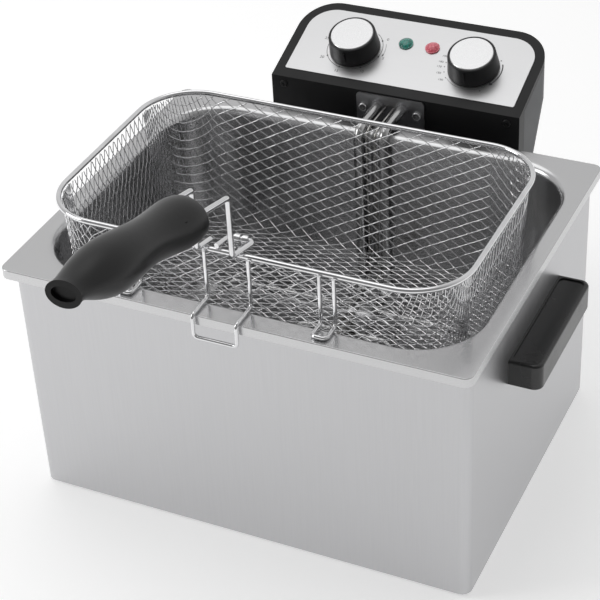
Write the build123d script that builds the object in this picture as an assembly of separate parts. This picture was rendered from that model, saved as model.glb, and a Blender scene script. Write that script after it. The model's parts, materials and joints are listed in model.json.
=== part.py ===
from build123d import *
import os
from math import sin, cos, tan, radians

os.makedirs("parts", exist_ok=True)

# Countertop deep fryer. Millimetres, +Z up, front towards -Y.
# Sizes are laid out from the middle of the casing. save() then moves every node along Y,
# so that the origin is on the table under the middle of the whole object.

# ---------------------------------------------------------------- driving dimensions
sheet = 0.8                  # casing and tank sheet
fit = 0.1                    # running clearance on shafts, bores and hinge wires
gap = 0.3                    # clearance between pieces that must not touch
foot_height = 3.0

# deck and oil tank, one deep-drawn piece
deck_width = 360.0
deck_depth = 285.0
deck_top = 206.0
deck_corner = 7.0
hem_drop = 7.4
roll = 6.5                   # rolled edge of the tank mouth
mouth_side_margin = 9.0      # deck side edge to tank mouth
mouth_front_margin = 13.6    # deck front edge to tank mouth
mouth_back_margin = 11.3
mouth_corner = 54.0
tank_floor = 34.0            # inside floor above the table
tank_floor_radius = 14.0

# outer casing
casing_side_inset = 4.5      # under the deck's side edges
casing_end_inset = 9.8       # under its front and back edges
casing_corner = 8.0
base_flange = 14.0
foot_radius = 9.0
foot_inset = 26.0
foot_screw_radius = 1.5

# side handles
grip_length = 114.0
grip_reach = 24.0
grip_height = 20.0
grip_drop = 46.0             # grip top below the deck
grip_wall = 3.0
grip_screw_spacing = 74.0

# control unit, hung behind the deck
unit_width = 213.0
unit_wall = 2.2
unit_front_gap = 18.4        # deck back edge to the front face of the unit
unit_front_rise = 16.8       # front face top edge above the deck
unit_below_deck = 96.0
unit_lower_depth = 45.0
panel_slope = 19.0           # degrees
panel_length = 89.3          # along the slope
rear_chamfer_top = 4.0       # below the deck, where the back starts to slant in
rear_chamfer_angle = 30.0    # degrees from upright
unit_corner = 30.0
seam_depth = 11.7            # front shell flange behind the front face
rim_depth = 4.3              # front shell rim below the panel face
seam_gap = 0.2

# fascia, knobs and lamps, measured along the panel
fascia_side = 8.1            # housing rim beside the plate
fascia_start = 9.6
fascia_end = 8.3
fascia_thickness = 1.0
fascia_recess = 0.7
fascia_corner_step = 7.5     # smaller than the housing's corner
trim_shift = 2.4             # knobs and lamps sit a little to the right of the middle
knob_spacing = 103.0
knob_along = 42.5
knob_base_radius = 21.0
knob_top_radius = 19.3
knob_height = 15.5
knob_gap = 0.8
cap_radius = 17.4
cap_thickness = 1.2
spindle_radius = 3.0
lamp_spacing = 23.0
lamp_along = 55.8
lamp_radius = 6.0
lamp_hole_radius = 3.9

# timer and thermostat behind the panel
switch_width = 42.0
switch_length = 38.0
timer_depth = 28.0
thermostat_depth = 24.0

# heating element
tube_radius = 4.0
leg_spacing = 20.7
element_x = -1.6
element_clear = 1.4          # tube to tank back wall
element_lift = 6.2           # tube axis above the deck where it crosses it
element_bend = 11.0
coil_height = 26.0           # tube axis above the tank floor
coil_side_clear = 42.0       # tube axis to the tank's side walls
coil_front_clear = 29.9
coil_back_step = 28.8        # in front of the upright legs
coil_bay = 80.0              # outer run to inner run
coil_inner_step = 35.0       # inner cross run in front of the outer one
brace_places = (-40.0, 20.0)
brace_width = 10.0
brace_thickness = 1.5
flange_width = 58.2
flange_thickness = 1.5
flange_top_gap = 1.4         # below the front face's top edge
flange_height = 30.0
probe_wire_radius = 1.0
probe_bulb_radius = 3.0
probe_bulb_length = 64.0
ferrule_wall = 1.4           # collars round the tubes at the flange
ferrule_length = 2.4
probe_clip_height = 5.0      # bulbs above the coil

# hanging bracket on the casing and hooks on the unit
bracket_sheet = 1.2
bracket_half = 60.0
bracket_reach = 20.0
bracket_drop = 20.0          # bracket top below the deck
bracket_height = 66.0
hook_width = 24.0
hook_half = 34.0
hook_drop = 18.0

# basket, hooked on the front rim in its draining position
rim_radius = 2.0
rim_rise = 40.0              # rim axis above the deck
basket_side_clear = 13.7     # rim axis inside the tank mouth
basket_rear_space = 64.3     # mouth depth left free for the heater
basket_corner = 43.0
basket_front = 24.6          # deck front edge to the rim axis
basket_height = 106.0
basket_taper = 3.0           # degrees
basket_floor_radius = 12.0
mesh_thickness = 0.8
hook_wire_radius = 1.5
hook_spacing = 33.4
hook_x = -4.7
hook_hang = 16.0             # below the deck top
rest_spacing = 10.8
rest_reach = 74.5            # hook middle to the middle of each loop
rest_foot_inset = 3.7        # foot end behind the deck front edge

# basket handle
fork_radius = 2.0
fork_left = -23.5
fork_right = 3.2
fork_rise = 46.2             # leg height above the foot
fork_stand_off = 8.6         # leg axis in front of the rim axis
fork_bend = 5.0
crossbar_left = -9.4
crossbar_right = 9.2
crossbar_inset = 12.6        # hinge axis behind the rim axis
hinge_eye_width = 4.0
hinge_eye_spacing = 6.0
hinge_eye_wall = 1.2
handle_rise = 14.3           # degrees above level
handle_length = 148.0
handle_wire_offset = 6.5     # fork wires above the grip axis
handle_wire_depth = 26.0
handle_neck = 34.0           # fork legs to the grip's inner end
handle_end_drop = 2.0        # the grip's end face, below its axis
handle_end_width = 12.5      # half axes of the oval end face
handle_end_height = 8.6
handle_profile = [           # share of the length, half width, half height, drop of the middle
    (0.0, 18.6, 15.8, 0.0), (0.058, 19.4, 17.0, 0.0), (0.163, 18.5, 16.8, 0.0),
    (0.337, 16.5, 15.0, -0.6), (0.593, 19.4, 17.2, 0.4), (0.814, 17.2, 13.6, 1.0)]
handle_inner_round = 3.0
handle_recess = 3.0          # oval hollow in the end face
handle_recess_rim = 3.9

# safety cut-out with its reset button, and the cord's inlet
reset_bore = 4.6
reset_radius = 4.0
reset_travel = 1.5
reset_proud = 2.4
gland_neck = 5.6

# ---------------------------------------------------------------- derived places
deck_front = -deck_depth / 2
deck_back = deck_depth / 2
deck_under = deck_top - sheet
mouth_width = deck_width - 2 * mouth_side_margin
mouth_front = deck_front + mouth_front_margin
mouth_back = deck_back - mouth_back_margin
mouth_mid = (mouth_front + mouth_back) / 2
mouth_depth = mouth_back - mouth_front
tank_back = mouth_back - roll
casing_width = deck_width - 2 * casing_side_inset
casing_depth = deck_depth - 2 * casing_end_inset
grip_top = deck_top - grip_drop
bracket_top = deck_top - bracket_drop
base_top = foot_height + sheet
plate_top = base_top + 1.0

unit_front = deck_back + unit_front_gap
unit_top = deck_top + unit_front_rise
unit_bottom = deck_top - unit_below_deck
unit_back = unit_front + panel_length * cos(radians(panel_slope))
unit_back_top = unit_top + panel_length * sin(radians(panel_slope))
chamfer_z = deck_top - rear_chamfer_top
unit_low_back = unit_front + unit_lower_depth
chamfer_end = chamfer_z - (unit_back - unit_low_back) / tan(radians(rear_chamfer_angle))
panel = Plane(origin=(0, unit_front, unit_top), x_dir=(1, 0, 0),
              z_dir=(0, -sin(radians(panel_slope)), cos(radians(panel_slope))))
fascia_width = unit_width - 2 * fascia_side
fascia_length = panel_length - fascia_start - fascia_end
fascia_corner = unit_corner - fascia_corner_step
fascia_face = fascia_thickness - fascia_recess
timer_x = trim_shift - knob_spacing / 2
thermostat_x = trim_shift + knob_spacing / 2

leg_left = element_x - leg_spacing / 2
leg_right = element_x + leg_spacing / 2
probe_spacing = leg_spacing - 2 * (tube_radius + ferrule_wall + probe_wire_radius + gap)
leg_y = tank_back - tube_radius - element_clear
cross_z = deck_top + element_lift
coil_z = tank_floor + coil_height
coil_half_width = mouth_width / 2 - roll - coil_side_clear
coil_inner_half = coil_half_width - coil_bay
coil_front = mouth_front + roll + coil_front_clear
coil_back = leg_y - coil_back_step
coil_inner_back = coil_back - coil_inner_step
bulb_z = coil_z + tube_radius + probe_bulb_radius + probe_clip_height
bracket_back = casing_depth / 2 + bracket_reach

rim_z = deck_top + rim_rise
basket_width = mouth_width - 2 * basket_side_clear   # rim axis to rim axis
basket_depth = mouth_depth - basket_rear_space
rim_front = deck_front + basket_front
rim_back = rim_front + basket_depth
rim_mid = (rim_front + rim_back) / 2
foot_wire_z = rim_z + rim_radius + fork_radius + gap
fork_y = rim_front - fork_stand_off
hinge_y = rim_front + crossbar_inset
fork_top = foot_wire_z + fork_rise
rise = radians(handle_rise)
axis_dir = Vector(0, -cos(rise), sin(rise))
axis_up = Vector(0, sin(rise), cos(rise))
handle_x = (fork_left + fork_right) / 2
wire_exit = Vector(handle_x, fork_y, fork_top) + axis_dir * handle_neck
grip_start = wire_exit - axis_up * handle_wire_offset

handle_end = grip_start + axis_dir * handle_length - axis_up * handle_end_drop
front_most = (handle_end - axis_up * handle_end_height).Y
back_most = unit_back + reset_proud
frame_shift = -(front_most + back_most) / 2


# ---------------------------------------------------------------- shared shapes
def save(shape, name):
    """Write one node, as a compound when it holds several separate solids."""
    solids = [Pos(0, frame_shift, 0) * solid for solid in shape.solids()]
    body = solids[0] if len(solids) == 1 else Compound(solids)
    body.label = name
    export_step(body, f"parts/{name}.step")


def slab(width, depth, corner, z_low, z_high, y_mid=0.0):
    """Upright block with rounded corners in plan."""
    outline = Pos(0, y_mid, z_low) * RectangleRounded(width, depth, corner)
    return extrude(outline, z_high - z_low)


def rod(start, end, radius):
    """Round bar between two points."""
    line = Vector(end) - Vector(start)
    return extrude(Plane(origin=start, z_dir=line) * Circle(radius), line.length)


def block(x, y, z):
    """Box from its three (low, high) pairs."""
    size = (x[1] - x[0], y[1] - y[0], z[1] - z[0])
    middle = ((x[0] + x[1]) / 2, (y[0] + y[1]) / 2, (z[0] + z[1]) / 2)
    return Pos(*middle) * Box(*size)


def bent_path(points, bend):
    """Line through the points, with an arc of the bend radius at each corner."""
    corners = [Vector(p) for p in points]
    edges = []
    last = corners[0]
    for before, corner, after in zip(corners, corners[1:], corners[2:]):
        back = (before - corner).normalized()
        ahead = (after - corner).normalized()
        half = radians(back.get_angle(ahead)) / 2
        reach = bend / tan(half)
        middle = (back + ahead).normalized()
        apex = corner + middle * (bend / sin(half) - bend)
        edges.append(Line(last, corner + back * reach))
        edges.append(ThreePointArc(corner + back * reach, apex, corner + ahead * reach))
        last = corner + ahead * reach
    edges.append(Line(last, corners[-1]))
    return Wire([e.edge() for e in edges])


def bent_wire(points, bend, radius):
    """Round wire bent through the points."""
    path = bent_path(points, bend)
    start = Plane(origin=path @ 0, z_dir=path % 0)
    return sweep(start * Circle(radius), path)


def ring_wire(width, depth, corner, y_mid, z, radius):
    """Closed wire ring, a rounded rectangle in plan."""
    outline = Pos(0, y_mid, z) * RectangleRounded(width, depth, corner)
    path = outline.wire()
    start = Plane(origin=path @ 0, z_dir=path % 0)
    return sweep(start * Circle(radius), path)


def pan_screw(point, axis, head_radius, head_height, shank_radius, shank_length):
    """Pan-head screw: axis points out of the head, point is under the head."""
    place = Plane(origin=point, z_dir=axis)
    head = extrude(place * Circle(head_radius), head_height)
    head = fillet(head.edges().group_by(lambda e: place.to_local_coords(e).center().Z)[-1],
                  head_height * 0.45)
    shank = extrude(place * Circle(shank_radius), -shank_length)
    slot_depth = head_height * 0.55
    slot_plane = place.offset(head_height)
    slots = Rectangle(head_radius * 1.1, head_radius * 0.26)
    slots += Rectangle(head_radius * 0.26, head_radius * 1.1)
    return head + shank - extrude(slot_plane * slots, -slot_depth)


def on_panel(x, along, up=0.0):
    """Plane on the sloping panel, at x and along the slope, raised by up."""
    return Plane(panel.offset(up) * Pos(x, along, 0))


# ---------------------------------------------------------------- casing
def foot_places():
    x = casing_width / 2 - foot_inset
    y = casing_depth / 2 - foot_inset
    return [(-x, -y), (x, -y), (-x, y), (x, y)]


def grip_screw_places(side):
    x = side * casing_width / 2
    z = grip_top - grip_height / 2
    return [(x, y, z) for y in (-grip_screw_spacing / 2, grip_screw_spacing / 2)]


def outer_casing():
    body = slab(casing_width, casing_depth, casing_corner, foot_height, deck_under)
    inner_w = casing_width - 2 * sheet
    inner_d = casing_depth - 2 * sheet
    inner = slab(inner_w, inner_d, casing_corner - sheet, base_top, deck_under)
    opening = slab(inner_w - 2 * base_flange, inner_d - 2 * base_flange, casing_corner,
                   foot_height, base_top)
    body = body - inner - opening
    flange_hole = foot_screw_radius + 0.2
    for x, y in foot_places():
        tab = Pos(x, y, foot_height) * Cylinder(foot_radius + 4, sheet,
                                                align=(Align.CENTER, Align.CENTER, Align.MIN))
        body = body + tab
        body = body - rod((x, y, foot_height - 1), (x, y, base_top + 1), flange_hole)
    for side in (-1, 1):
        for x, y, z in grip_screw_places(side):
            body = body - rod((x - 3, y, z), (x + 3, y, z), 2.2)
    return body


def base_plate():
    width = casing_width - 2 * sheet - 2 * gap
    depth = casing_depth - 2 * sheet - 2 * gap
    plate = slab(width, depth, casing_corner - sheet, base_top, plate_top)
    for x, y in foot_places():
        plate = plate - rod((x, y, base_top - 1), (x, y, plate_top + 1), foot_screw_radius + 0.2)
    for row in range(-3, 4):
        vent = Pos(0, row * 22.0, base_top) * SlotOverall(120, 6)
        plate = plate - extrude(vent, plate_top - base_top)
    return plate


def rubber_feet():
    feet = []
    for x, y in foot_places():
        foot = Pos(x, y, 0) * Cylinder(foot_radius, foot_height,
                                       align=(Align.CENTER, Align.CENTER, Align.MIN))
        foot = chamfer(foot.edges().group_by(Axis.Z)[0], 0.6)
        foot = foot - rod((x, y, -1), (x, y, foot_height - 0.8), 3.4)
        foot = foot - rod((x, y, 0), (x, y, foot_height + 1), foot_screw_radius + 0.1)
        feet.append(foot)
    return Compound([f.solid() for f in feet])


def foot_screws():
    screws = []
    for x, y in foot_places():
        screw = pan_screw((x, y, foot_height - 0.8), (0, 0, -1), 3.0, 1.4,
                          foot_screw_radius, 8.0)
        screws.append(screw.solid())
    return Compound(screws)


def foot_nuts():
    nuts = []
    for x, y in foot_places():
        nut = extrude(Pos(x, y, plate_top) * RegularPolygon(3.2, 6), 2.4)
        nut = nut - rod((x, y, plate_top - 1), (x, y, plate_top + 4), foot_screw_radius + 0.05)
        nuts.append(nut.solid())
    return Compound(nuts)


def side_handle(side):
    """Plastic grip bar with a dished top, hollow underneath for the fingers."""
    x_in = casing_width / 2
    x_out = x_in + grip_reach
    z_low = grip_top - grip_height
    half = grip_length / 2
    bar = block((x_in, x_out), (-half, half), (z_low, grip_top))
    upright = bar.edges().filter_by(Axis.Z).group_by(Axis.X)[-1]
    bar = fillet(upright, 7.0)
    bar = fillet(bar.faces().sort_by(Axis.Z)[-1].edges().group_by(Axis.X)[-1], 2.2)
    under = block((x_in + 7.0, x_out - grip_wall), (-half + 16, half - 16),
                  (z_low - 1, grip_top - 5.0))
    under = fillet(under.edges().filter_by(Axis.Z), 5.0)
    bar = bar - under
    dish = block((x_in + 1.6, x_out - 3.4), (-half + 3.4, half - 3.4),
                 (grip_top - 1.0, grip_top + 2))
    dish = fillet(dish.edges().filter_by(Axis.Z), 4.4)
    bar = bar - dish
    for x, y, z in grip_screw_places(1):
        bar = bar - rod((x - 1, y, z), (x + 5.6, y, z), 1.6)
    if side < 0:
        bar = mirror(bar, Plane.YZ)
    return bar


def side_handle_screws():
    screws = []
    for side in (-1, 1):
        for x, y, z in grip_screw_places(side):
            inside = x - side * sheet
            screw = pan_screw((inside, y, z), (-side, 0, 0), 3.6, 2.2, 1.5, sheet + 5.0)
            screws.append(screw.solid())
    return Compound(screws)


def hanging_bracket():
    """Folded sheet bracket on the casing's back wall, which the unit's hooks drop over."""
    wall = casing_depth / 2
    z_low = bracket_top - bracket_height
    flange = 15.0
    t = bracket_sheet
    shape = block((-bracket_half, bracket_half), (bracket_back - t, bracket_back),
                  (z_low, bracket_top))
    for side in (-1, 1):
        x_edge = side * bracket_half
        cheek = (min(x_edge, x_edge - side * t), max(x_edge, x_edge - side * t))
        foot = (min(x_edge, x_edge + side * flange), max(x_edge, x_edge + side * flange))
        shape = shape + block(cheek, (wall, bracket_back), (z_low, bracket_top))
        shape = shape + block(foot, (wall, wall + t), (z_low, bracket_top))
    return shape


# ---------------------------------------------------------------- oil tank
def oil_tank():
    """Deck, downturned hem and deep-drawn well in one sheet."""
    well_w = mouth_width - 2 * roll
    well_d = mouth_depth - 2 * roll
    well_r = mouth_corner - roll
    deck = slab(deck_width, deck_depth, deck_corner, deck_under, deck_top)
    outer = slab(well_w + 2 * sheet, well_d + 2 * sheet, well_r + sheet,
                 tank_floor - sheet, deck_under, mouth_mid)
    outer = fillet(outer.edges().group_by(Axis.Z)[0], tank_floor_radius + sheet)
    body = deck + outer
    neck = [e for e in body.edges().filter_by_position(Axis.Z, deck_under - 0.01,
                                                       deck_under + 0.01)
            if abs(e.center().X) < well_w / 2 + 2 * sheet and
            abs(e.center().Y - mouth_mid) < well_d / 2 + 2 * sheet]
    body = fillet(neck, roll - sheet)
    inner = slab(well_w, well_d, well_r, tank_floor, deck_top + 1, mouth_mid)
    inner = fillet(inner.edges().group_by(Axis.Z)[0], tank_floor_radius)
    body = body - inner
    lip = [e for e in body.edges().filter_by_position(Axis.Z, deck_top - 0.01, deck_top + 0.01)
           if abs(e.center().X) < well_w / 2 + sheet and
           abs(e.center().Y - mouth_mid) < well_d / 2 + sheet]
    body = fillet(lip, roll)
    hem = slab(deck_width, deck_depth, deck_corner, deck_top - hem_drop, deck_under)
    hem = hem - slab(deck_width - 2 * sheet, deck_depth - 2 * sheet, deck_corner - sheet,
                     deck_top - hem_drop, deck_under)
    body = body + hem
    top = [e for e in body.edges().filter_by_position(Axis.Z, deck_top - 0.01, deck_top + 0.01)
           if abs(e.center().X) > deck_width / 2 - deck_corner - 1 or
           abs(e.center().Y) > deck_depth / 2 - deck_corner - 1]
    return fillet(top, sheet * 0.9)


# ---------------------------------------------------------------- control unit
def unit_block(inset):
    """The unit's outer shape, or its inside when inset by the wall."""
    outline = Polyline((unit_front, unit_bottom), (unit_front, unit_top),
                       (unit_back, unit_back_top), (unit_back, chamfer_z),
                       (unit_low_back, chamfer_end), (unit_low_back, unit_bottom), close=True)
    face = make_face(Plane.YZ * outline)
    if inset:
        face = offset(face, -inset, kind=Kind.INTERSECTION)
    body = extrude(face, unit_width / 2 - inset, both=True)
    rear = [e for e in body.edges()
            if abs(abs(e.center().X) - (unit_width / 2 - inset)) < 0.01
            and e.center().Y > unit_low_back - inset - 1
            and abs((e % 0.5).Z) > 0.5]
    return fillet(rear, unit_corner - inset)


def seam_region(shift):
    """Everything that belongs to the front shell, grown by shift."""
    slope = tan(radians(panel_slope))
    y_seam = unit_front + seam_depth + shift
    z_seam = unit_top + seam_depth * slope - rim_depth - shift
    far = unit_back + 10
    outline = Polyline((unit_front - 10, unit_bottom - 10), (y_seam, unit_bottom - 10),
                       (y_seam, z_seam), (far, z_seam + (far - y_seam) * slope),
                       (far, unit_back_top + 40), (unit_front - 10, unit_back_top + 40),
                       close=True)
    return extrude(make_face(Plane.YZ * outline), unit_width / 2 + 5, both=True)


def shell_screw_places():
    x = unit_width / 2 - 10.6
    return [(sx * x, z) for sx in (-1, 1) for z in (unit_top - 6.8, unit_bottom + 12)]


def flange_screw_places():
    x = flange_width / 2 - 6.0
    z = unit_top - flange_top_gap - 12.2
    return [(element_x - x, z), (element_x + x, z)]


def fascia_outline(grow=0.0):
    """Plate with large rounded corners at the back, nearly square ones in front."""
    half = fascia_width / 2 + grow
    low = fascia_start - grow
    high = fascia_start + fascia_length + grow
    face = Pos(0, (low + high) / 2) * Rectangle(2 * half, high - low)
    face = fillet(face.vertices().group_by(Axis.Y)[-1], fascia_corner + grow)
    return fillet(face.vertices().group_by(Axis.Y)[0], 1.5)


def lamp_places():
    return [(trim_shift - lamp_spacing / 2, lamp_along), (trim_shift + lamp_spacing / 2, lamp_along)]


def control_front_shell():
    shell = (unit_block(0) - unit_block(unit_wall)) & seam_region(0)
    recess = extrude(panel * fascia_outline(0.2), -fascia_recess)
    shell = shell - recess
    for x in (timer_x, thermostat_x):
        shell = shell - extrude(on_panel(x, knob_along, 1) * Circle(5.2), -12)
    for x, along in lamp_places():
        shell = shell - extrude(on_panel(x, along, 1) * Circle(lamp_hole_radius + gap), -12)
    for x, z in shell_screw_places():
        shell = shell - rod((x, unit_front - 1, z), (x, unit_front + unit_wall + 4, z), 1.9)
        shell = shell - rod((x, unit_front - 1, z), (x, unit_front + 0.9, z), 3.6)
    for x in (leg_left, leg_right):
        shell = shell - rod((x, unit_front - 1, cross_z), (x, unit_front + 5, cross_z),
                            tube_radius + 1.0)
    for x in probe_places():
        shell = shell - rod((x, unit_front - 1, cross_z), (x, unit_front + 5, cross_z),
                            probe_wire_radius + 0.6)
    for x, z in flange_screw_places():
        shell = shell - rod((x, unit_front - 1, z), (x, unit_front + 5, z), 1.7)
    for x in hook_places():
        for z in hook_screw_heights():
            shell = shell - rod((x, unit_front - 1, z), (x, unit_front + 5, z), 1.7)
    return shell.solids().sort_by(SortBy.VOLUME)[-1]


def control_rear_cover():
    shell = (unit_block(0) - unit_block(unit_wall)) - seam_region(seam_gap)
    inside = unit_block(unit_wall / 2)
    start = unit_front + unit_wall + gap
    for x, z in shell_screw_places():
        post = rod((x, start, z), (x, unit_back, z), 3.4) & inside
        post = post - rod((x, start - 1, z), (x, start + 14, z), 1.45)
        shell = shell + post
    x, y, z = reset_place()
    shell = shell - rod((x, y - 8, z), (x, y + 8, z), reset_bore)
    x, y, z = gland_place()
    shell = shell - rod((x, y - 8, z), (x, y + 8, z), gland_neck + gap)
    for row in range(6):
        z = unit_bottom + 12 + row * 5.0
        vent = Plane(origin=(0, unit_low_back + 1, z), x_dir=(1, 0, 0), z_dir=(0, 1, 0))
        shell = shell - extrude(vent * SlotOverall(60, 2.2), -(unit_wall + 2))
    return shell.solids().sort_by(SortBy.VOLUME)[-1]


def fascia_plate():
    plate = extrude(panel.offset(-fascia_recess) * fascia_outline(), fascia_thickness)
    for x in (timer_x, thermostat_x):
        plate = plate - extrude(on_panel(x, knob_along, 3) * Circle(spindle_radius + 0.8), -8)
    for x, along in lamp_places():
        plate = plate - extrude(on_panel(x, along, 3) * Circle(lamp_hole_radius + gap), -8)
    return plate


def control_knob(x):
    """Tapered knob with a hollow skirt, a hub on the spindle and a seat for its cap."""
    base = on_panel(x, knob_along, fascia_face + knob_gap)
    top = base.offset(knob_height)
    body = loft([base * Circle(knob_base_radius), top * Circle(knob_top_radius)])
    edges = body.edges().sort_by(lambda e: base.to_local_coords(e).center().Z)
    body = fillet(edges[-1], 1.0)
    hollow = extrude(base * (Circle(knob_top_radius - 2.6) - Circle(6.0)), knob_height - 4.5)
    body = body - hollow - extrude(base * Circle(spindle_radius + 0.02), knob_height - 4.5)
    body = body - extrude(top * Circle(cap_radius + 0.15), -(cap_thickness - 0.35))
    mark = Plane(base * Pos(0, -knob_base_radius + 1.6, 2.0))
    rib = extrude(mark * Rectangle(1.3, 3.2), knob_height - 5.0)
    rib = rib - extrude(base * Circle(knob_top_radius - 1.2), knob_height)
    return (body + rib).solids().sort_by(SortBy.VOLUME)[-1]


def knob_cap(x):
    """Brushed disc set in the top of a knob."""
    seat = on_panel(x, knob_along, fascia_face + knob_gap + knob_height - cap_thickness + 0.35)
    disc = extrude(seat * Circle(cap_radius), cap_thickness)
    edges = disc.edges().sort_by(lambda e: seat.to_local_coords(e).center().Z)
    return chamfer(edges[-1], 0.4)


def spindle(x, body_top):
    """Shaft from the switch body into the knob."""
    start = on_panel(x, knob_along, body_top)
    length = fascia_face + knob_gap + knob_height - 4.5 - 0.5 - body_top
    return extrude(start * Circle(spindle_radius), length)


def switch_body(x, depth):
    """Timer or thermostat body under the panel, with its threaded neck and tags."""
    top = on_panel(x, knob_along, -unit_wall - gap)
    body = extrude(top * RectangleRounded(switch_width, switch_length, 3), -depth)
    neck = extrude(top * Circle(4.9), unit_wall - fascia_recess)
    body = body + neck - extrude(top.offset(unit_wall) * Circle(spindle_radius + fit), -8)
    low = top.offset(-depth)
    for dx in (-switch_width / 4, switch_width / 4):
        body = body + extrude(low * Pos(dx, 0, 0) * Rectangle(0.8, 6.3), -8)
    return body


def lamp_lens(x, along):
    """Round jewel lens with a flange and a low dome."""
    base = on_panel(x, along, fascia_face)
    collar = extrude(base * Circle(lamp_radius), 1.0)
    radius = 9.0
    rise = 1.9
    ball = base.offset(1.0 + rise - radius) * Sphere(radius)
    cutter = extrude(base.offset(1.0) * Circle(lamp_radius - 0.9), rise + 1)
    return (collar + (ball & cutter)).solid()


def lamp_bodies():
    bodies = []
    for x, along in lamp_places():
        base = on_panel(x, along, fascia_face)
        body = extrude(base * Circle(lamp_hole_radius), -15)
        tags = extrude(base.offset(-15) * (Pos(2, 0) * Rectangle(0.8, 3) +
                                           Pos(-2, 0) * Rectangle(0.8, 3)), -5)
        bodies.append((body + tags).solid())
    return Compound(bodies)


def front_shell_screws():
    screws = []
    for x, z in shell_screw_places():
        screw = pan_screw((x, unit_front + 0.9, z), (0, -1, 0), 3.2, 1.6, 1.4, 12.0)
        screws.append(screw.solid())
    return Compound(screws)


def reset_place():
    return (0.0, unit_back, deck_top + 5.0)


def gland_place():
    return (-62.0, unit_low_back, unit_bottom + 13.0)


def reset_button():
    x, y, z = reset_place()
    stem = rod((x, y + reset_proud, z), (x, y - 6, z), reset_radius)
    stem = chamfer(stem.edges().group_by(Axis.Y)[-1], 0.5)
    return stem + rod((x, y - 6, z), (x, y - 8, z), reset_radius - 1.5)


def safety_cutout():
    x, y, z = reset_place()
    front = y - 8 - reset_travel - gap
    return rod((x, front, z), (x, front - 12, z), 9.0) + \
        block((x - 12, x + 12), (front - 13.5, front - 12), (z - 9, z + 9))


def terminal_block():
    y_high = unit_low_back - unit_wall - gap
    body = block((-30, 30), (y_high - 18, y_high), (unit_bottom + 46, unit_bottom + 62))
    for x in (-20, 0, 20):
        body = body - rod((x, y_high - 19, unit_bottom + 54), (x, y_high + 1, unit_bottom + 54), 2.5)
        body = body - rod((x, y_high - 9, unit_bottom + 54), (x, y_high - 9, unit_bottom + 63), 2.0)
    return body


def cord_gland():
    x, y, z = gland_place()
    gland = rod((x, y - 7, z), (x, y + 2.4, z), gland_neck)
    gland = gland + rod((x, y, z), (x, y + 2.4, z), 9.0)
    gland = gland + rod((x, y + 2.4, z), (x, y + 9, z), 7.0)
    return gland - rod((x, y - 8, z), (x, y + 10, z), 3.8)


# hooks that hang the unit on the casing
def hook_places():
    return (-hook_half, hook_half)


def hook_screw_heights():
    return (bracket_top - 30.0, bracket_top - 14.0)


def hanger_hooks():
    """Two bent straps on the unit's front face, over the bracket's top edge."""
    t = 1.5
    seat = bracket_top + gap / 3
    tongue = bracket_back - bracket_sheet - 1.2 - t
    hooks = []
    for x in hook_places():
        wide = (x - hook_width / 2, x + hook_width / 2)
        strap = block(wide, (unit_front - t, unit_front), (bracket_top - 38, seat + t))
        strap = strap + block(wide, (tongue, unit_front), (seat, seat + t))
        strap = strap + block(wide, (tongue, tongue + t), (bracket_top - hook_drop, seat + t))
        for z in hook_screw_heights():
            strap = strap - rod((x, unit_front - 4, z), (x, unit_front + 1, z), 1.7)
        hooks.append(strap.solid())
    return Compound(hooks)


def hook_screws():
    screws = []
    for x in hook_places():
        for z in hook_screw_heights():
            screw = pan_screw((x, unit_front - 1.5, z), (0, -1, 0), 3.0, 1.6, 1.5, 7.0)
            screws.append(screw.solid())
    return Compound(screws)


# ---------------------------------------------------------------- heating element
def probe_places():
    return (element_x - probe_spacing / 2, element_x + probe_spacing / 2)


def heater_flange_plate():
    high = unit_top - flange_top_gap
    place = Plane(origin=(element_x, unit_front, high - flange_height / 2), x_dir=(1, 0, 0),
                  z_dir=(0, -1, 0))
    plate = extrude(place * RectangleRounded(flange_width, flange_height, 3), flange_thickness)
    for x in (leg_left, leg_right):
        plate = plate - rod((x, unit_front - 4, cross_z), (x, unit_front + 1, cross_z),
                            tube_radius + 0.5)
    for x in probe_places():
        plate = plate - rod((x, unit_front - 4, cross_z), (x, unit_front + 1, cross_z),
                            probe_wire_radius + 0.3)
    for x, z in flange_screw_places():
        plate = plate - rod((x, unit_front - 4, z), (x, unit_front + 1, z), 1.7)
    return plate


def heater_flange_screws():
    screws = []
    for x, z in flange_screw_places():
        place = (x, unit_front - flange_thickness, z)
        screws.append(pan_screw(place, (0, -1, 0), 3.5, 2.2, 1.5, 9.0).solid())
    return Compound(screws)


def heater_ferrules():
    """Brazed collars where the tube passes the flange plate."""
    face = unit_front - flange_thickness
    rings = []
    for x in (leg_left, leg_right):
        ring = rod((x, face, cross_z), (x, face - ferrule_length, cross_z),
                   tube_radius + ferrule_wall)
        ring = ring - rod((x, face + 1, cross_z), (x, face - 4, cross_z), tube_radius + 0.02)
        rings.append(ring.solid())
    return Compound(rings)


def heating_element():
    """One sheathed tube: over the tank's edge, down, round the floor and back up."""
    inner_end = unit_front + 10
    w = coil_half_width
    n = coil_inner_half
    drop = coil_z
    points = [(leg_left, inner_end, cross_z), (leg_left, leg_y, cross_z),
              (leg_left, leg_y, drop), (leg_left, coil_back, drop), (-w, coil_back, drop),
              (-w, coil_front, drop), (-n, coil_front, drop), (-n, coil_inner_back, drop),
              (n, coil_inner_back, drop), (n, coil_front, drop), (w, coil_front, drop),
              (w, coil_back, drop), (leg_right, coil_back, drop), (leg_right, leg_y, drop),
              (leg_right, leg_y, cross_z), (leg_right, inner_end, cross_z)]
    return bent_wire(points, element_bend, tube_radius)


def element_pins():
    """Terminal pins in the two cold ends."""
    start = unit_front + 10
    pins = [rod((x, start, cross_z), (x, start + 12, cross_z), 1.5).solid()
            for x in (leg_left, leg_right)]
    return Compound(pins)


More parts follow.
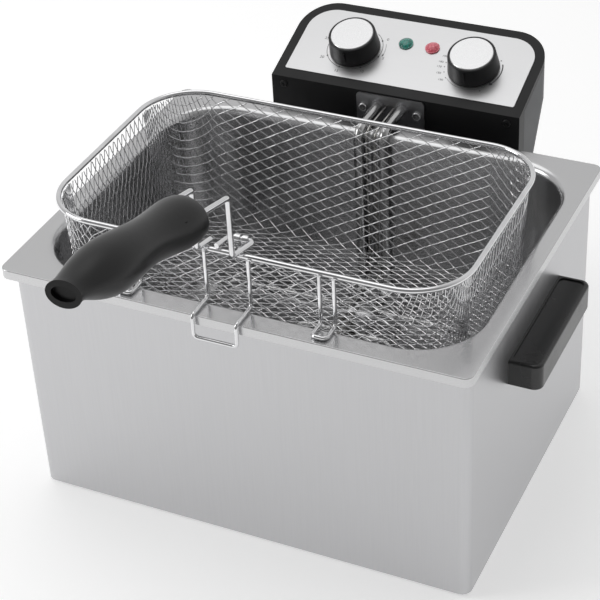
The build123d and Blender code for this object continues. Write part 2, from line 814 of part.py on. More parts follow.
def element_braces():
    """Flat bars under the coil that tie its runs together."""
    z_high = coil_z - tube_radius
    reach = coil_half_width + 6
    bars = []
    for y in brace_places:
        wide = (y - brace_width / 2, y + brace_width / 2)
        bar = block((-reach, reach), wide, (z_high - brace_thickness, z_high))
        bars.append(bar.solid())
    return Compound(bars)


def probe(x, bulb_y):
    """Capillary from the unit down to a sensing bulb above the coil's brace."""
    start = unit_front + 12
    points = [(x, start, cross_z), (x, leg_y, cross_z), (x, leg_y, bulb_z), (x, bulb_y, bulb_z)]
    wire = bent_wire(points, element_bend - 2, probe_wire_radius)
    bulb = rod((x, bulb_y, bulb_z), (x, bulb_y - probe_bulb_length, bulb_z), probe_bulb_radius)
    return wire + bulb


def probe_clip():
    """Strap that carries both bulbs on the coil's middle run."""
    y_mid = coil_inner_back
    wide = (probe_places()[0] - 6, probe_places()[1] + 6)
    under = bulb_z - probe_bulb_radius
    bar = block(wide, (y_mid - 6, y_mid + 6), (under - 1.0, under))
    legs = block(wide, (y_mid - 1, y_mid + 1), (coil_z + tube_radius, under - 1.0))
    return bar + legs


# ---------------------------------------------------------------- basket
def basket_rim():
    return ring_wire(basket_width, basket_depth, basket_corner, rim_mid, rim_z, rim_radius)


def mesh_top_width():
    return basket_width - 2 * rim_radius - 0.2


def mesh_top_depth():
    return basket_depth - 2 * rim_radius - 0.2


def basket_mesh():
    """Closed skin with the outer shape of the woven mesh, open at the top."""
    def cup(inset, top, low):
        face = Pos(0, rim_mid, rim_z) * RectangleRounded(
            mesh_top_width() - 2 * inset, mesh_top_depth() - 2 * inset, basket_corner - 2 - inset)
        solid = extrude(face, -(rim_z - low), taper=basket_taper)
        if top > rim_z:
            solid = solid + extrude(face, top - rim_z)
        return fillet(solid.edges().group_by(Axis.Z)[0], basket_floor_radius - inset)
    low = rim_z - basket_height
    outer = cup(0, rim_z, low)
    return outer - cup(mesh_thickness, rim_z + 1, low + mesh_thickness)


def drain_hook():
    """Wide wire hook that carries the basket on the deck's front edge."""
    y_leg = rim_front - rim_radius - hook_wire_radius
    z_deck = deck_top + hook_wire_radius + gap
    y_out = deck_front - hook_wire_radius - 1.6
    z_low = deck_top - hook_hang
    left = hook_x - hook_spacing / 2
    right = hook_x + hook_spacing / 2
    points = [(left, y_leg, rim_z), (left, y_leg, z_deck), (left, y_out, z_deck),
              (left, y_out, z_low), (right, y_out, z_low), (right, y_out, z_deck),
              (right, y_leg, z_deck), (right, y_leg, rim_z)]
    return bent_wire(points, 3.6, hook_wire_radius)


def rest_loops():
    """Narrow wire feet that stand on the deck beside the hook."""
    y_leg = rim_front - rim_radius - hook_wire_radius
    z_deck = deck_top + hook_wire_radius + gap
    y_foot = deck_front + rest_foot_inset + hook_wire_radius
    loops = []
    for x in (hook_x - rest_reach, hook_x + rest_reach):
        left = x - rest_spacing / 2
        right = x + rest_spacing / 2
        points = [(left, y_leg, rim_z), (left, y_leg, z_deck), (left, y_foot, z_deck),
                  (right, y_foot, z_deck), (right, y_leg, z_deck), (right, y_leg, rim_z)]
        loops.append(bent_wire(points, 3.4, hook_wire_radius).solid())
    return Compound(loops)


def hinge_eyes():
    """Small straps round the handle's crossbar, welded to the rim."""
    outer = fork_radius + fit + hinge_eye_wall
    z_low = foot_wire_z - outer
    middle = (crossbar_left + crossbar_right) / 2
    eyes = []
    for x in (middle - hinge_eye_spacing / 2, middle + hinge_eye_spacing / 2):
        wide = (x - hinge_eye_width / 2, x + hinge_eye_width / 2)
        start = (wide[0], hinge_y, foot_wire_z)
        end = (wide[1], hinge_y, foot_wire_z)
        eye = rod(start, end, outer)
        eye = eye + block(wide, (rim_front + rim_radius + 0.1, hinge_y), (z_low, z_low + hinge_eye_wall))
        eye = eye - rod((wide[0] - 1, hinge_y, foot_wire_z), (wide[1] + 1, hinge_y, foot_wire_z),
                        fork_radius + fit)
        eyes.append(eye.solid())
    return Compound(eyes)


# ---------------------------------------------------------------- basket handle
def handle_fork():
    """One wire: grip, left leg and foot, then right leg, foot, crossbar and tail."""
    inner = wire_exit + axis_dir * handle_wire_depth
    left = [(fork_left, inner.Y, inner.Z), (fork_left, fork_y, fork_top),
            (fork_left, fork_y, foot_wire_z), (fork_left + 3.4, hinge_y - 7.0, foot_wire_z)]
    right = [(fork_right, inner.Y, inner.Z), (fork_right, fork_y, fork_top),
             (fork_right, fork_y, foot_wire_z), (crossbar_right, hinge_y, foot_wire_z),
             (crossbar_left, hinge_y, foot_wire_z),
             (crossbar_left - 3.2, rim_front - 1.0, foot_wire_z)]
    tie = [(fork_left, inner.Y, inner.Z), (fork_right, inner.Y, inner.Z)]
    wire = bent_wire(left, fork_bend * 0.6, fork_radius)
    wire = wire + bent_wire(right, fork_bend * 0.6, fork_radius)
    return wire + rod(tie[0], tie[1], fork_radius)


def grip_section(along, half_width, half_height, drop):
    """Elliptical section of the grip at a distance from its inner end."""
    centre = grip_start + axis_dir * along - axis_up * drop
    place = Plane(origin=centre, x_dir=(1, 0, 0), z_dir=axis_dir)
    return place * Ellipse(half_width, half_height)


def handle_grip():
    """Moulded grip: full at the neck, waisted, swelling, then tapering to an oval end."""
    sections = [grip_section(share * handle_length, half_width, half_height, drop)
                for share, half_width, half_height, drop in handle_profile]
    sections.append(grip_section(handle_length, handle_end_width, handle_end_height,
                                 handle_end_drop))
    body = loft(sections)
    body = fillet(body.edges().sort_by(Axis.Y)[-1], handle_inner_round)
    place = Plane(origin=handle_end, x_dir=(1, 0, 0), z_dir=axis_dir)
    oval = Ellipse(handle_end_width - handle_recess_rim, handle_end_height - handle_recess_rim)
    body = body - extrude(place * oval, -handle_recess)
    clear = fork_radius + 0.02
    inner = wire_exit + axis_dir * handle_wire_depth
    for x in (fork_left, fork_right):
        outside = wire_exit - axis_dir * 6
        body = body - rod((x, outside.Y, outside.Z), (x, inner.Y, inner.Z), clear)
    pocket = Plane(origin=(handle_x, inner.Y, inner.Z), x_dir=(1, 0, 0), z_dir=axis_dir)
    half = fork_radius + gap
    body = body - pocket * Box(fork_right - fork_left + 2 * half, 2 * half, 2 * half)
    return body.solids().sort_by(SortBy.VOLUME)[-1]


# ---------------------------------------------------------------- write the nodes
save(outer_casing(), "outer_casing")
save(base_plate(), "base_plate")
save(rubber_feet(), "rubber_feet")
save(foot_screws(), "foot_screws")
save(foot_nuts(), "foot_nuts")
save(side_handle(-1), "side_handle_left")
save(side_handle(1), "side_handle_right")
save(side_handle_screws(), "side_handle_screws")
save(hanging_bracket(), "hanging_bracket")
save(oil_tank(), "oil_tank")

save(control_front_shell(), "control_front_shell")
save(control_rear_cover(), "control_rear_cover")
save(front_shell_screws(), "front_shell_screws")
save(fascia_plate(), "fascia_plate")
for name, x, depth in (("timer", timer_x, timer_depth),
                       ("thermostat", thermostat_x, thermostat_depth)):
    save(control_knob(x), f"{name}_knob")
    save(knob_cap(x), f"{name}_knob_cap")
    save(spindle(x, -unit_wall - 6.0), f"{name}_spindle")
    save(switch_body(x, depth), f"{name}_body")
for name, place in zip(("green", "red"), lamp_places()):
    save(lamp_lens(*place), f"{name}_lamp_lens")
save(lamp_bodies(), "lamp_bodies")
save(reset_button(), "reset_button")
save(safety_cutout(), "safety_cutout")
save(terminal_block(), "terminal_block")
save(cord_gland(), "cord_gland")
save(hanger_hooks(), "hanger_hooks")
save(hook_screws(), "hook_screws")
save(heater_flange_plate(), "heater_flange_plate")
save(heater_flange_screws(), "heater_flange_screws")
save(heater_ferrules(), "heater_ferrules")
save(heating_element(), "heating_element")
save(element_pins(), "element_pins")
save(element_braces(), "element_braces")
probe_left, probe_right = probe_places()
save(probe(probe_left, coil_inner_back + 10), "thermostat_probe")
save(probe(probe_right, coil_inner_back + 10), "cutout_probe")
save(probe_clip(), "probe_clip")

save(basket_rim(), "basket_rim")
save(basket_mesh(), "basket_mesh")
save(drain_hook(), "drain_hook")
save(rest_loops(), "rest_loops")
save(hinge_eyes(), "hinge_eyes")
save(handle_fork(), "handle_fork")
save(handle_grip(), "handle_grip")
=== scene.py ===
import json
import math

import bmesh
import bpy
import numpy as np
from mathutils import Matrix, Vector


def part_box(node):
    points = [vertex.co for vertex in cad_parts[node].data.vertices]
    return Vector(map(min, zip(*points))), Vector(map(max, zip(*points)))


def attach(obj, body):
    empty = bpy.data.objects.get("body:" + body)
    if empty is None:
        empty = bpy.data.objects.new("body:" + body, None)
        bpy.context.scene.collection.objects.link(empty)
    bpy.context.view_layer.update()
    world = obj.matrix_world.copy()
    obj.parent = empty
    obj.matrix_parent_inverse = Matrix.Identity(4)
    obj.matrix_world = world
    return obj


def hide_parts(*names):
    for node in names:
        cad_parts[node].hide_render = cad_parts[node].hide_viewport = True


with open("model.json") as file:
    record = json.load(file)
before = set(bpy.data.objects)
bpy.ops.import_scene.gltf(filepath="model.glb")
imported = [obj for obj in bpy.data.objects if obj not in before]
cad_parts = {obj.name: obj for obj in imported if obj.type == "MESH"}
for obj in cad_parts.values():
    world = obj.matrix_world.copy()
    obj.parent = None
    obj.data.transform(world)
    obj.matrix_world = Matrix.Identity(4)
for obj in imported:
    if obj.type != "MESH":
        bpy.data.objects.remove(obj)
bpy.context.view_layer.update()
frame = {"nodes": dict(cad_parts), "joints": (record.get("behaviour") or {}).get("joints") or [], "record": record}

# Countertop deep fryer. Metres, in the CAD frame: +Z up, front towards -Y.
MM = 0.001
record = frame["record"]
slot_of = {part["node"]: part["material_slot"] for part in record["subparts"]}
joints = {joint["name"]: joint for joint in frame["joints"]}


# ---------------------------------------------------------------- materials
def new_material(name, colour, roughness, metallic=0.0):
    """A Principled material, its node tree and its shader."""
    material = bpy.data.materials.new(name)
    material.use_nodes = True
    shader = material.node_tree.nodes["Principled BSDF"]
    shader.inputs["Base Color"].default_value = (*colour, 1)
    shader.inputs["Roughness"].default_value = roughness
    shader.inputs["Metallic"].default_value = metallic
    return material, material.node_tree, shader


def noise(tree, stretch, scale, detail=3.0):
    """Noise in the piece's own coordinates, drawn out along the axes where stretch is small."""
    place = tree.nodes.new("ShaderNodeTexCoord")
    mapping = tree.nodes.new("ShaderNodeMapping")
    mapping.inputs["Scale"].default_value = stretch
    pattern = tree.nodes.new("ShaderNodeTexNoise")
    pattern.inputs["Scale"].default_value = scale
    pattern.inputs["Detail"].default_value = detail
    tree.links.new(place.outputs["Object"], mapping.inputs["Vector"])
    tree.links.new(mapping.outputs["Vector"], pattern.inputs["Vector"])
    return pattern.outputs["Fac"]


def remap(tree, value, low, high, start=0.3, end=0.7):
    """The value's middle range, spread from low to high."""
    node = tree.nodes.new("ShaderNodeMapRange")
    node.inputs["From Min"].default_value = start
    node.inputs["From Max"].default_value = end
    node.inputs["To Min"].default_value = low
    node.inputs["To Max"].default_value = high
    tree.links.new(value, node.inputs["Value"])
    return node.outputs["Result"]


def tint(tree, shader, value, dark, light):
    """Base colour that goes from dark to light with the value."""
    mix = tree.nodes.new("ShaderNodeMix")
    mix.data_type = "RGBA"
    mix.inputs["A"].default_value = (*dark, 1)
    mix.inputs["B"].default_value = (*light, 1)
    tree.links.new(value, mix.inputs["Factor"])
    tree.links.new(mix.outputs["Result"], shader.inputs["Base Color"])


def add_bump(tree, shader, value, depth, strength=1.0):
    bump = tree.nodes.new("ShaderNodeBump")
    bump.inputs["Distance"].default_value = depth
    bump.inputs["Strength"].default_value = strength
    tree.links.new(value, bump.inputs["Height"])
    tree.links.new(bump.outputs["Normal"], shader.inputs["Normal"])


def scaled(colour, share):
    return tuple(min(1.0, channel * share) for channel in colour)


def brushed(name, colour, roughness, grain, spread=0.06, contrast=0.05, depth=0.004):
    """Brushed metal: grain is small along the direction of the brushing."""
    material, tree, shader = new_material(name, colour, roughness, 1.0)
    fine = noise(tree, grain, 1.0, 2.0)
    smudge = noise(tree, (1, 1, 1), 9.0, 2.0)
    both = tree.nodes.new("ShaderNodeMath")
    both.operation = "ADD"
    tree.links.new(remap(tree, fine, -0.5, 0.5), both.inputs[0])
    tree.links.new(remap(tree, smudge, -0.35, 0.35), both.inputs[1])
    total = both.outputs["Value"]
    tree.links.new(remap(tree, total, roughness - spread, roughness + spread, -0.8, 0.8),
                   shader.inputs["Roughness"])
    tint(tree, shader, remap(tree, total, 0.0, 1.0, -0.8, 0.8),
         scaled(colour, 1 - contrast), scaled(colour, 1 + contrast))
    add_bump(tree, shader, fine, depth * MM)
    return material


def plated(name, colour, roughness, contrast=0.12):
    """Bright plated or polished wire, with fine drawing marks and a little dullness."""
    material, tree, shader = new_material(name, colour, roughness, 1.0)
    fine = noise(tree, (1, 1, 1), 900.0, 2.0)
    dull = noise(tree, (1, 1, 1), 60.0, 2.0)
    tree.links.new(remap(tree, dull, roughness * 0.7, roughness * 1.5),
                   shader.inputs["Roughness"])
    tint(tree, shader, remap(tree, dull, 0, 1), scaled(colour, 1 - contrast), colour)
    add_bump(tree, shader, fine, 0.006 * MM)
    return material


def moulded(name, colour, roughness, shine=0.5, grain_scale=2600.0, depth=0.012):
    """Moulded plastic or rubber with a fine texture and slightly uneven gloss."""
    material, tree, shader = new_material(name, colour, roughness)
    fine = noise(tree, (1, 1, 1), grain_scale, 2.0)
    patchy = noise(tree, (1, 1, 1), 25.0, 3.0)
    tree.links.new(remap(tree, patchy, roughness - 0.05, roughness + 0.06),
                   shader.inputs["Roughness"])
    tint(tree, shader, remap(tree, patchy, 0, 1), scaled(colour, 0.9), scaled(colour, 1.12))
    add_bump(tree, shader, fine, depth * MM)
    shader.inputs["Specular IOR Level"].default_value = shine
    return material


def jewel(name, dark, light):
    """Tinted lamp lens, moulded with fine facets round its middle."""
    material, tree, shader = new_material(name, light, 0.12)
    facets = tree.nodes.new("ShaderNodeTexVoronoi")
    facets.inputs["Scale"].default_value = 620.0
    place = tree.nodes.new("ShaderNodeTexCoord")
    tree.links.new(place.outputs["Object"], facets.inputs["Vector"])
    tint(tree, shader, remap(tree, facets.outputs["Distance"], 0, 1, 0.1, 0.8), light, dark)
    add_bump(tree, shader, facets.outputs["Distance"], 0.25 * MM, 0.6)
    shader.inputs["Coat Weight"].default_value = 0.8
    shader.inputs["Coat Roughness"].default_value = 0.05
    return material


def spun(name, colour, roughness, knob):
    """Lathe-turned disc: fine rings round the knob's axis."""
    material, tree, shader = new_material(name, colour, roughness, 1.0)
    centre, axis = Vector(joints[knob]["pos_m"]), Vector(joints[knob]["axis"])
    place = tree.nodes.new("ShaderNodeTexCoord")
    offset = tree.nodes.new("ShaderNodeVectorMath")
    offset.operation = "SUBTRACT"
    offset.inputs[1].default_value = centre
    across = tree.nodes.new("ShaderNodeVectorMath")
    across.operation = "CROSS_PRODUCT"
    across.inputs[1].default_value = axis
    reach = tree.nodes.new("ShaderNodeVectorMath")
    reach.operation = "LENGTH"
    rings = tree.nodes.new("ShaderNodeTexNoise")
    rings.noise_dimensions = "1D"
    rings.inputs["Scale"].default_value = 2200.0
    rings.inputs["Detail"].default_value = 2.0
    tree.links.new(place.outputs["Object"], offset.inputs[0])
    tree.links.new(offset.outputs["Vector"], across.inputs[0])
    tree.links.new(across.outputs["Vector"], reach.inputs[0])
    tree.links.new(reach.outputs["Value"], rings.inputs["W"])
    value = rings.outputs["Fac"]
    tree.links.new(remap(tree, value, roughness - 0.05, roughness + 0.07),
                   shader.inputs["Roughness"])
    tint(tree, shader, remap(tree, value, 0, 1), scaled(colour, 0.93), scaled(colour, 1.03))
    add_bump(tree, shader, value, 0.004 * MM)
    return material


UPRIGHT_GRAIN = (1500, 1500, 25)
LEVEL_GRAIN = (25, 1500, 1500)
EVEN_GRAIN = (500, 500, 500)
STEEL = (0.56, 0.56, 0.575)

materials = {
    "casing_steel": brushed("casing_steel", (0.57, 0.57, 0.58), 0.36, UPRIGHT_GRAIN, 0.05, 0.03, 0.002),
    "tank_steel": brushed("tank_steel", (0.60, 0.60, 0.605), 0.24, LEVEL_GRAIN, 0.03, 0.015, 0.001),
    "plain_steel": brushed("plain_steel", STEEL, 0.38, EVEN_GRAIN, 0.08, 0.10),
    "fascia_steel": brushed("fascia_steel", (0.60, 0.60, 0.605), 0.34, LEVEL_GRAIN, 0.04, 0.02, 0.002),
    "flange_steel": brushed("flange_steel", (0.42, 0.42, 0.43), 0.34, LEVEL_GRAIN, 0.06, 0.1),
    "element_steel": plated("element_steel", (0.60, 0.60, 0.60), 0.17, 0.2),
    "probe_steel": plated("probe_steel", (0.55, 0.54, 0.52), 0.22),
    "screw_steel": plated("screw_steel", (0.62, 0.62, 0.62), 0.22),
    "basket_wire": plated("basket_wire", (0.80, 0.80, 0.81), 0.07),
    "mesh_wire": plated("mesh_wire", (0.82, 0.82, 0.83), 0.16, 0.2),
    "timer_cap": spun("timer_cap", (0.66, 0.66, 0.665), 0.30, "timer_turn"),
    "thermostat_cap": spun("thermostat_cap", (0.66, 0.66, 0.665), 0.30, "thermostat_turn"),
    "housing_plastic": moulded("housing_plastic", (0.007, 0.007, 0.0075), 0.42, 0.28),
    "cover_plastic": moulded("cover_plastic", (0.055, 0.058, 0.062), 0.5),
    "handle_plastic": moulded("handle_plastic", (0.006, 0.006, 0.006), 0.26, 0.6),
    "grip_plastic": moulded("grip_plastic", (0.004, 0.004, 0.0042), 0.34, 0.34),
    "knob_plastic": moulded("knob_plastic", (0.009, 0.009, 0.010), 0.36, 0.4),
    "switch_plastic": moulded("switch_plastic", (0.62, 0.60, 0.54), 0.5),
    "reset_plastic": moulded("reset_plastic", (0.55, 0.02, 0.02), 0.3),
    "foot_rubber": moulded("foot_rubber", (0.02, 0.02, 0.02), 0.75),
    "gland_rubber": moulded("gland_rubber", (0.025, 0.025, 0.025), 0.7),
    "dark_screw": plated("dark_screw", (0.05, 0.05, 0.05), 0.35),
    "green_lens": jewel("green_lens", (0.004, 0.13, 0.10), (0.01, 0.38, 0.29)),
    "red_lens": jewel("red_lens", (0.62, 0.06, 0.10), (0.95, 0.22, 0.28)),
    "print_ink": moulded("print_ink", (0.05, 0.05, 0.055), 0.6),
}
SLOT_MATERIAL = {"cap_aluminium": "timer_cap"}


def paint(obj, material):
    obj.data.materials.clear()
    obj.data.materials.append(materials[material])


for node, obj in frame["nodes"].items():
    paint(obj, SLOT_MATERIAL.get(slot_of[node], slot_of[node]))
paint(frame["nodes"]["thermostat_knob_cap"], "thermostat_cap")


# ---------------------------------------------------------------- making pieces
def add_piece(name, data, body, slot, material=None):
    obj = bpy.data.objects.new(name, data)
    bpy.context.scene.collection.objects.link(obj)
    paint(obj, material or slot)
    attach(obj, body)
    return obj


def wire_curve(name, paths, radius, resolution=1):
    """Curve object data with one round wire through each path's points."""
    data = bpy.data.curves.new(name, "CURVE")
    data.dimensions = "3D"
    data.bevel_depth = radius
    data.bevel_resolution = resolution
    data.use_fill_caps = True
    for path in paths:
        spline = data.splines.new("POLY")
        spline.points.add(len(path) - 1)
        flat = np.c_[path, np.ones(len(path))].ravel()
        spline.points.foreach_set("co", flat)
    return data


# ---------------------------------------------------------------- woven basket mesh
WIRE = 0.38 * MM             # radius
CRIMP = 0.36 * MM            # how far a wire swings to each side of the weave
SIDE = 8.0 * MM              # one crossing to the next along a wire
RISING = math.radians(22.0)  # each family's angle to the basket's width
FALLING = math.radians(-26.0)
WALL_STRETCH = 0.4           # how much taller the net is drawn on the front and back walls
CORNER = 40.6 * MM           # plan corner of the weave's middle surface, at the top
FLOOR_ROUND = 12.0 * MM
TAPER = math.radians(3.0)
RIM_CLEAR = 0.8 * MM         # wires end this far below the rim's axis
STEPS = 4                    # points from one crossing to the next
SHORTEST = 3                 # wires that span fewer crossings are left out

mesh_low, mesh_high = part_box("basket_mesh")
skin = 0.4 * MM              # from the CAD skin's outside to the middle of the weave
half = np.array([(mesh_high.x - mesh_low.x) / 2 - skin, (mesh_high.y - mesh_low.y) / 2 - skin])
middle = np.array([(mesh_high.x + mesh_low.x) / 2, (mesh_high.y + mesh_low.y) / 2])
floor_z = mesh_low.z + skin
height = mesh_high.z - floor_z
straight = half - CORNER
wall_length = (height - FLOOR_ROUND + FLOOR_ROUND * math.sin(TAPER)) / math.cos(TAPER)
floor_reach = CORNER - FLOOR_ROUND * math.cos(TAPER) - wall_length * math.sin(TAPER)
arc_length = FLOOR_ROUND * (math.pi / 2 - TAPER)
wall_foot = np.array([floor_reach + FLOOR_ROUND * math.cos(TAPER),
                      FLOOR_ROUND - FLOOR_ROUND * math.sin(TAPER)])
wall_up = np.array([math.sin(TAPER), math.cos(TAPER)])
wall_in = np.array([-math.cos(TAPER), math.sin(TAPER)])
arc_middle = np.array([floor_reach, FLOOR_ROUND])


def to_profile(points):
    """Corner centre, outward direction, reach and height of each point."""
    anchor = np.clip(points[..., :2], -straight, straight)
    out = points[..., :2] - anchor
    reach = np.linalg.norm(out, axis=-1)
    direction = out / np.maximum(reach, 1e-9)[..., None]
    return anchor, direction, reach, points[..., 2]


def onto_cup(points):
    """Nearest points on the basket's surface, and the surface's inward normals."""
    anchor, direction, reach, z = to_profile(points)
    flat = np.stack([reach, z], -1)
    along = np.maximum((flat - wall_foot) @ wall_up, 0)
    on_wall = wall_foot + along[..., None] * wall_up
    spoke = flat - arc_middle
    spoke /= np.maximum(np.linalg.norm(spoke, axis=-1), 1e-9)[..., None]
    on_arc = arc_middle + spoke * FLOOR_ROUND
    is_wall = (along > 0)[..., None]
    is_floor = ((reach <= floor_reach) & ~is_wall[..., 0])[..., None]
    on_floor = np.stack([reach, np.zeros_like(reach)], -1)
    place = np.where(is_wall, on_wall, np.where(is_floor, on_floor, on_arc))
    inward = np.where(is_wall, wall_in, np.where(is_floor, np.array([0.0, 1.0]), -spoke))
    back = np.concatenate([anchor + direction * place[..., :1], place[..., 1:]], -1)
    normal = np.concatenate([direction * inward[..., :1], inward[..., 1:]], -1)
    return back, normal


def folded(flat):
    """Points of the flat net, folded up from the floor and drawn taller on the long walls."""
    anchor = np.clip(flat, -straight, straight)
    out = flat - anchor
    reach = np.linalg.norm(out, axis=-1)
    direction = out / np.maximum(reach, 1e-9)[..., None]
    beyond = np.maximum(reach - floor_reach, 0) * (1 + WALL_STRETCH * direction[..., 1] ** 2)
    turn = np.clip(beyond / FLOOR_ROUND, 0, arc_length / FLOOR_ROUND)
    up = np.maximum(beyond - arc_length, 0)
    side = np.minimum(reach, floor_reach) + FLOOR_ROUND * np.sin(turn) + up * math.sin(TAPER)
    rise = FLOOR_ROUND * (1 - np.cos(turn)) + up * math.cos(TAPER)
    return np.concatenate([anchor + direction * side[..., None], rise[..., None]], -1)


def draw_net():
    """The diamond net's crossings, laid on the bias and folded into the basket's shape."""
    first = np.array([math.cos(RISING), math.sin(RISING)]) * SIDE
    second = np.array([math.cos(FALLING), math.sin(FALLING)]) * SIDE
    span = np.linalg.norm(straight + floor_reach + arc_length + wall_length)
    count = int(span / (SIDE * math.sin(RISING - FALLING))) + 2
    steps = np.arange(-count, count + 1)[:, None]
    return folded(steps[:, :, None] * first + steps[None, :, :] * second)


def smooth_line(points):
    """Points along a smooth curve through the given ones, STEPS to a span."""
    padded = np.vstack([2 * points[0] - points[1], points, 2 * points[-1] - points[-2]])
    a, b, c, d = padded[:-3], padded[1:-2], padded[2:-1], padded[3:]
    parts = []
    for step in range(STEPS):
        t = step / STEPS
        parts.append(0.5 * (2 * b + (c - a) * t + (2 * a - 5 * b + 4 * c - d) * t ** 2
                            + (3 * b - a - 3 * c + d) * t ** 3))
    line = np.stack(parts, 1).reshape(-1, 3)
    return np.vstack([line, points[-1]])


def longest_run(inside):
    """First and last index of the longest unbroken run."""
    edges = np.flatnonzero(np.diff(np.r_[0, inside.astype(int), 0]))
    runs = edges.reshape(-1, 2)
    if not len(runs):
        return 0, 0
    return runs[np.argmax(runs[:, 1] - runs[:, 0])]


def woven_wires(net, side):
    """The crimped wires of one family: side +1 starts over, -1 under."""
    wires = []
    for row, points in enumerate(net):
        line = smooth_line(points)
        count = np.arange(len(line)) / STEPS + row
        line, normal = onto_cup(line)
        start, end = longest_run(line[:, 2] < height - RIM_CLEAR)
        if end - start < SHORTEST * STEPS:
            continue
        line = line + normal * (side * CRIMP * np.cos(math.pi * count))[:, None]
        wires.append(line[start:end] + np.array([*middle, floor_z]))
    return wires


net = draw_net()
rising = woven_wires(net.transpose(1, 0, 2), 1)
falling = woven_wires(net, -1)
for family, wires in (("rising", rising), ("falling", falling)):
    cut = len(wires) // 2
    for share, group in (("one", wires[:cut]), ("two", wires[cut:])):
        name = f"mesh_wires_{family}_{share}"
        data = wire_curve(name, group, WIRE)
        add_piece(name, data, "basket", "mesh_wire")
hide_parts("basket_mesh")


# ---------------------------------------------------------------- printed dials
timer_axis = Vector(joints["timer_turn"]["axis"])
ink_rise = 0.03 * MM
fascia_top = max(v.co.dot(timer_axis) for v in frame["nodes"]["fascia_plate"].data.vertices)


def dial_place(knob):
    """Matrix from dial coordinates (x right, y up the slope) to the fascia's face."""
    centre = Vector(joints[knob]["pos_m"])
    centre += timer_axis * (fascia_top + ink_rise - centre.dot(timer_axis))
    up_slope = timer_axis.cross(Vector((1, 0, 0)))
    turn = Matrix((Vector((1, 0, 0)), up_slope, timer_axis)).transposed()
    return Matrix.Translation(centre) @ turn.to_4x4()


def at(radius, degrees):
    angle = math.radians(degrees)
    return Vector((radius * math.cos(angle), radius * math.sin(angle), 0)) * MM


def flat_strip(mesh, left, right):
    """A flat band between two lines of points."""
    rails = [[mesh.verts.new(p) for p in line] for line in (left, right)]
    for i in range(len(left) - 1):
        mesh.faces.new((rails[0][i], rails[1][i], rails[1][i + 1], rails[0][i + 1]))


def arc_band(mesh, radius, width, start, end):
    count = max(2, int(abs(end - start) / 4))
    angles = [start + (end - start) * i / count for i in range(count + 1)]
    inner = [at(radius - width / 2, a) for a in angles]
    outer = [at(radius + width / 2, a) for a in angles]
    if end > start:
        inner, outer = outer, inner
    flat_strip(mesh, inner, outer)


def dot(mesh, radius, degrees, size):
    centre = at(radius, degrees)
    ring = [mesh.verts.new(centre + at(size, 30 * i)) for i in range(12)]
    mesh.faces.new(ring)


def arrow_head(mesh, radius, degrees, size, turn):
    tip = at(radius, degrees + turn * 7)
    base = [at(radius - size, degrees), at(radius + size, degrees)]
    corners = [tip, *base] if turn > 0 else [tip, *reversed(base)]
    mesh.faces.new([mesh.verts.new(p) for p in corners])


def ink_piece(name, mesh, place):
    bmesh.ops.transform(mesh, matrix=place, verts=mesh.verts)
    data = bpy.data.meshes.new(name)
    mesh.to_mesh(data)
    mesh.free()
    return add_piece(name, data, "control_unit", "fascia_steel", "print_ink")


def number(name, text, spot, size, place):
    data = bpy.data.curves.new(name, "FONT")
    data.body = text
    data.size = size * MM
    data.align_x = "CENTER"
    data.align_y = "CENTER"
    data.resolution_u = 3
    obj = bpy.data.objects.new(name, data)
    bpy.context.scene.collection.objects.link(obj)
    obj.matrix_world = place @ Matrix.Translation(spot)
    paint(obj, "print_ink")
    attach(obj, "control_unit")


RING = 23.2                  # radius of both dials' circles, mm
OUTER_RING = RING + 2.6      # turning arrow and off mark
TIMER_ZERO = 32              # degrees from the dial's right, anticlockwise
TIMER_STEP = 44.7            # degrees from one number to the next
TIMER_MINUTES = (0, 5, 10, 15, 20, 25, 30)
TEMPERATURES = ((130, -141), (150, -157), (170, -171), (180, 178), (190, 165))


def timer_dial():
    """Ring with a dot and a number every five minutes, and a turning arrow."""
    place = dial_place("timer_turn")
    ring = bmesh.new()
    arc_band(ring, RING, 0.42, 55, -237)
    arc_band(ring, OUTER_RING, 0.3, 22, -4)
    arrow_head(ring, OUTER_RING, -4, 0.7, -1)
    angles = [TIMER_ZERO - TIMER_STEP * step for step in range(len(TIMER_MINUTES))]
    for angle in angles:
        dot(ring, RING, angle, 0.75)
    ink_piece("timer_scale", ring, place)
    for minutes, angle in zip(TIMER_MINUTES, angles):
        number(f"timer_number_{minutes}", str(minutes), at(RING + 4.6, angle), 3.8, place)


def thermostat_dial():
    """Thin ring with the temperatures on its left and a thick turning arrow on its right."""
    place = dial_place("thermostat_turn")
    ring = bmesh.new()
    arc_band(ring, RING, 0.25, -139, -48)
    arc_band(ring, RING, 0.9, 22, -34)
    arrow_head(ring, RING, -34, 1.9, -1)
    for _, angle in TEMPERATURES:
        dot(ring, RING + 0.6, angle, 0.5)
    dot(ring, OUTER_RING, -60, 0.5)
    dot(ring, RING - 0.6, 33, 0.6)
    ink_piece("thermostat_scale", ring, place)
    for value, angle in TEMPERATURES:
        number(f"thermostat_number_{value}", str(value), at(RING + 5.0, angle), 2.9, place)


timer_dial()
thermostat_dial()

# ---------------------------------------------------------------- stage, lights and camera
FLOOR_REACH = 6.0
FLOOR_GLOW = 0.36            # keeps the paper near white
SKY = ((0.0, 0.22), (0.32, 0.25), (0.5, 0.50), (0.8, 0.74), (1.0, 0.70))   # front to back
LENS = 109.2
SENSOR = 36.0
CAMERA_ROLL = math.radians(-3.36)
CAMERA_PLACE = Vector((0.49973, -0.87221, 0.92835))     # Y from the deck's front edge
CAMERA_TARGET = Vector((-0.0333, 0.18552, 0.0930))


def area_light(name, place, aim, size, power):
    data = bpy.data.lights.new(name, "AREA")
    data.shape = "DISK"
    data.size = size
    data.energy = power
    obj = bpy.data.objects.new(name, data)
    bpy.context.scene.collection.objects.link(obj)
    obj.location = place
    obj.rotation_euler = (Vector(aim) - Vector(place)).to_track_quat("-Z", "Y").to_euler()


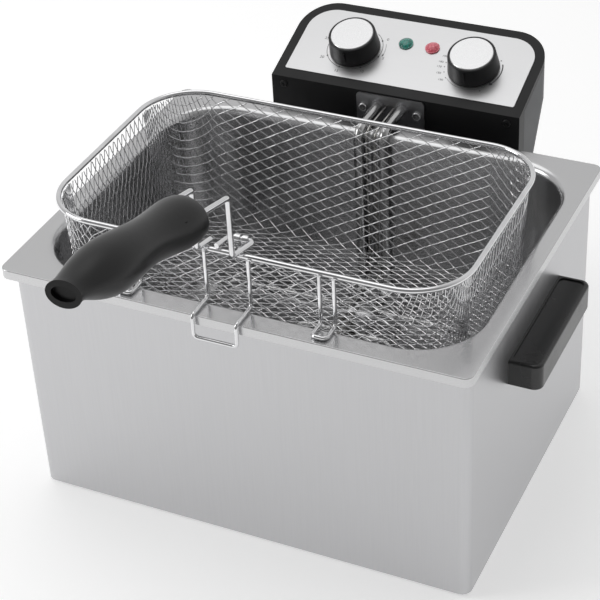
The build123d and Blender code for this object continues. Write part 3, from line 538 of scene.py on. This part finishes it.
def make_floor():
    mesh = bmesh.new()
    corners = [mesh.verts.new((sx * FLOOR_REACH, sy * FLOOR_REACH, 0)) for sx, sy in
               ((-1, -1), (1, -1), (1, 1), (-1, 1))]
    mesh.faces.new(corners)
    data = bpy.data.meshes.new("floor")
    mesh.to_mesh(data)
    mesh.free()
    obj = bpy.data.objects.new("floor", data)
    bpy.context.scene.collection.objects.link(obj)
    material, tree, shader = new_material("floor_paper", (0.9, 0.9, 0.9), 0.9)
    paper = noise(tree, (1, 1, 1), 300.0, 3.0)
    tint(tree, shader, paper, (0.89, 0.89, 0.89), (0.91, 0.91, 0.91))
    shader.inputs["Specular IOR Level"].default_value = 0.1
    shader.inputs["Emission Color"].default_value = (1, 1, 1, 1)
    shader.inputs["Emission Strength"].default_value = FLOOR_GLOW
    data.materials.append(material)


def make_world():
    """Soft studio: bright behind the object, darker in front, white where nothing is."""
    world = bpy.data.worlds.new("studio")
    bpy.context.scene.world = world
    world.use_nodes = True
    tree = world.node_tree
    background = tree.nodes["Background"]
    place = tree.nodes.new("ShaderNodeTexCoord")
    split = tree.nodes.new("ShaderNodeSeparateXYZ")
    ramp = tree.nodes.new("ShaderNodeValToRGB")
    half_range = tree.nodes.new("ShaderNodeMapRange")
    half_range.inputs["From Min"].default_value = -1
    ramp.color_ramp.elements.remove(ramp.color_ramp.elements[1])
    for index, (where, level) in enumerate(SKY):
        stop = ramp.color_ramp.elements[0] if index == 0 else ramp.color_ramp.elements.new(where)
        stop.color = (level, level, level, 1)
    seen = tree.nodes.new("ShaderNodeLightPath")
    mix = tree.nodes.new("ShaderNodeMix")
    mix.data_type = "RGBA"
    mix.inputs["B"].default_value = (1, 1, 1, 1)
    tree.links.new(place.outputs["Generated"], split.inputs["Vector"])
    tree.links.new(split.outputs["Y"], half_range.inputs["Value"])
    tree.links.new(half_range.outputs["Result"], ramp.inputs["Fac"])
    tree.links.new(ramp.outputs["Color"], mix.inputs["A"])
    tree.links.new(seen.outputs["Is Camera Ray"], mix.inputs["Factor"])
    tree.links.new(mix.outputs["Result"], background.inputs["Color"])


def make_camera():
    data = bpy.data.cameras.new("camera")
    data.lens = LENS
    data.sensor_width = SENSOR
    obj = bpy.data.objects.new("camera", data)
    bpy.context.scene.collection.objects.link(obj)
    deck_front = Vector((0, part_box("oil_tank")[0].y, 0))
    place = deck_front + CAMERA_PLACE
    aim = (deck_front + CAMERA_TARGET - place).to_track_quat("-Z", "Y")
    roll = Matrix.Rotation(CAMERA_ROLL, 4, "Z")
    obj.matrix_world = Matrix.Translation(place) @ aim.to_matrix().to_4x4() @ roll
    bpy.context.scene.camera = obj


make_floor()
make_world()
area_light("top_softbox", (-0.5, 0.3, 1.9), (0, 0, 0.1), 1.6, 6)
area_light("left_softbox", (-1.8, -0.9, 1.2), (0, 0, 0.1), 1.2, 14)
make_camera()
bpy.context.scene.view_settings.view_transform = "Standard"
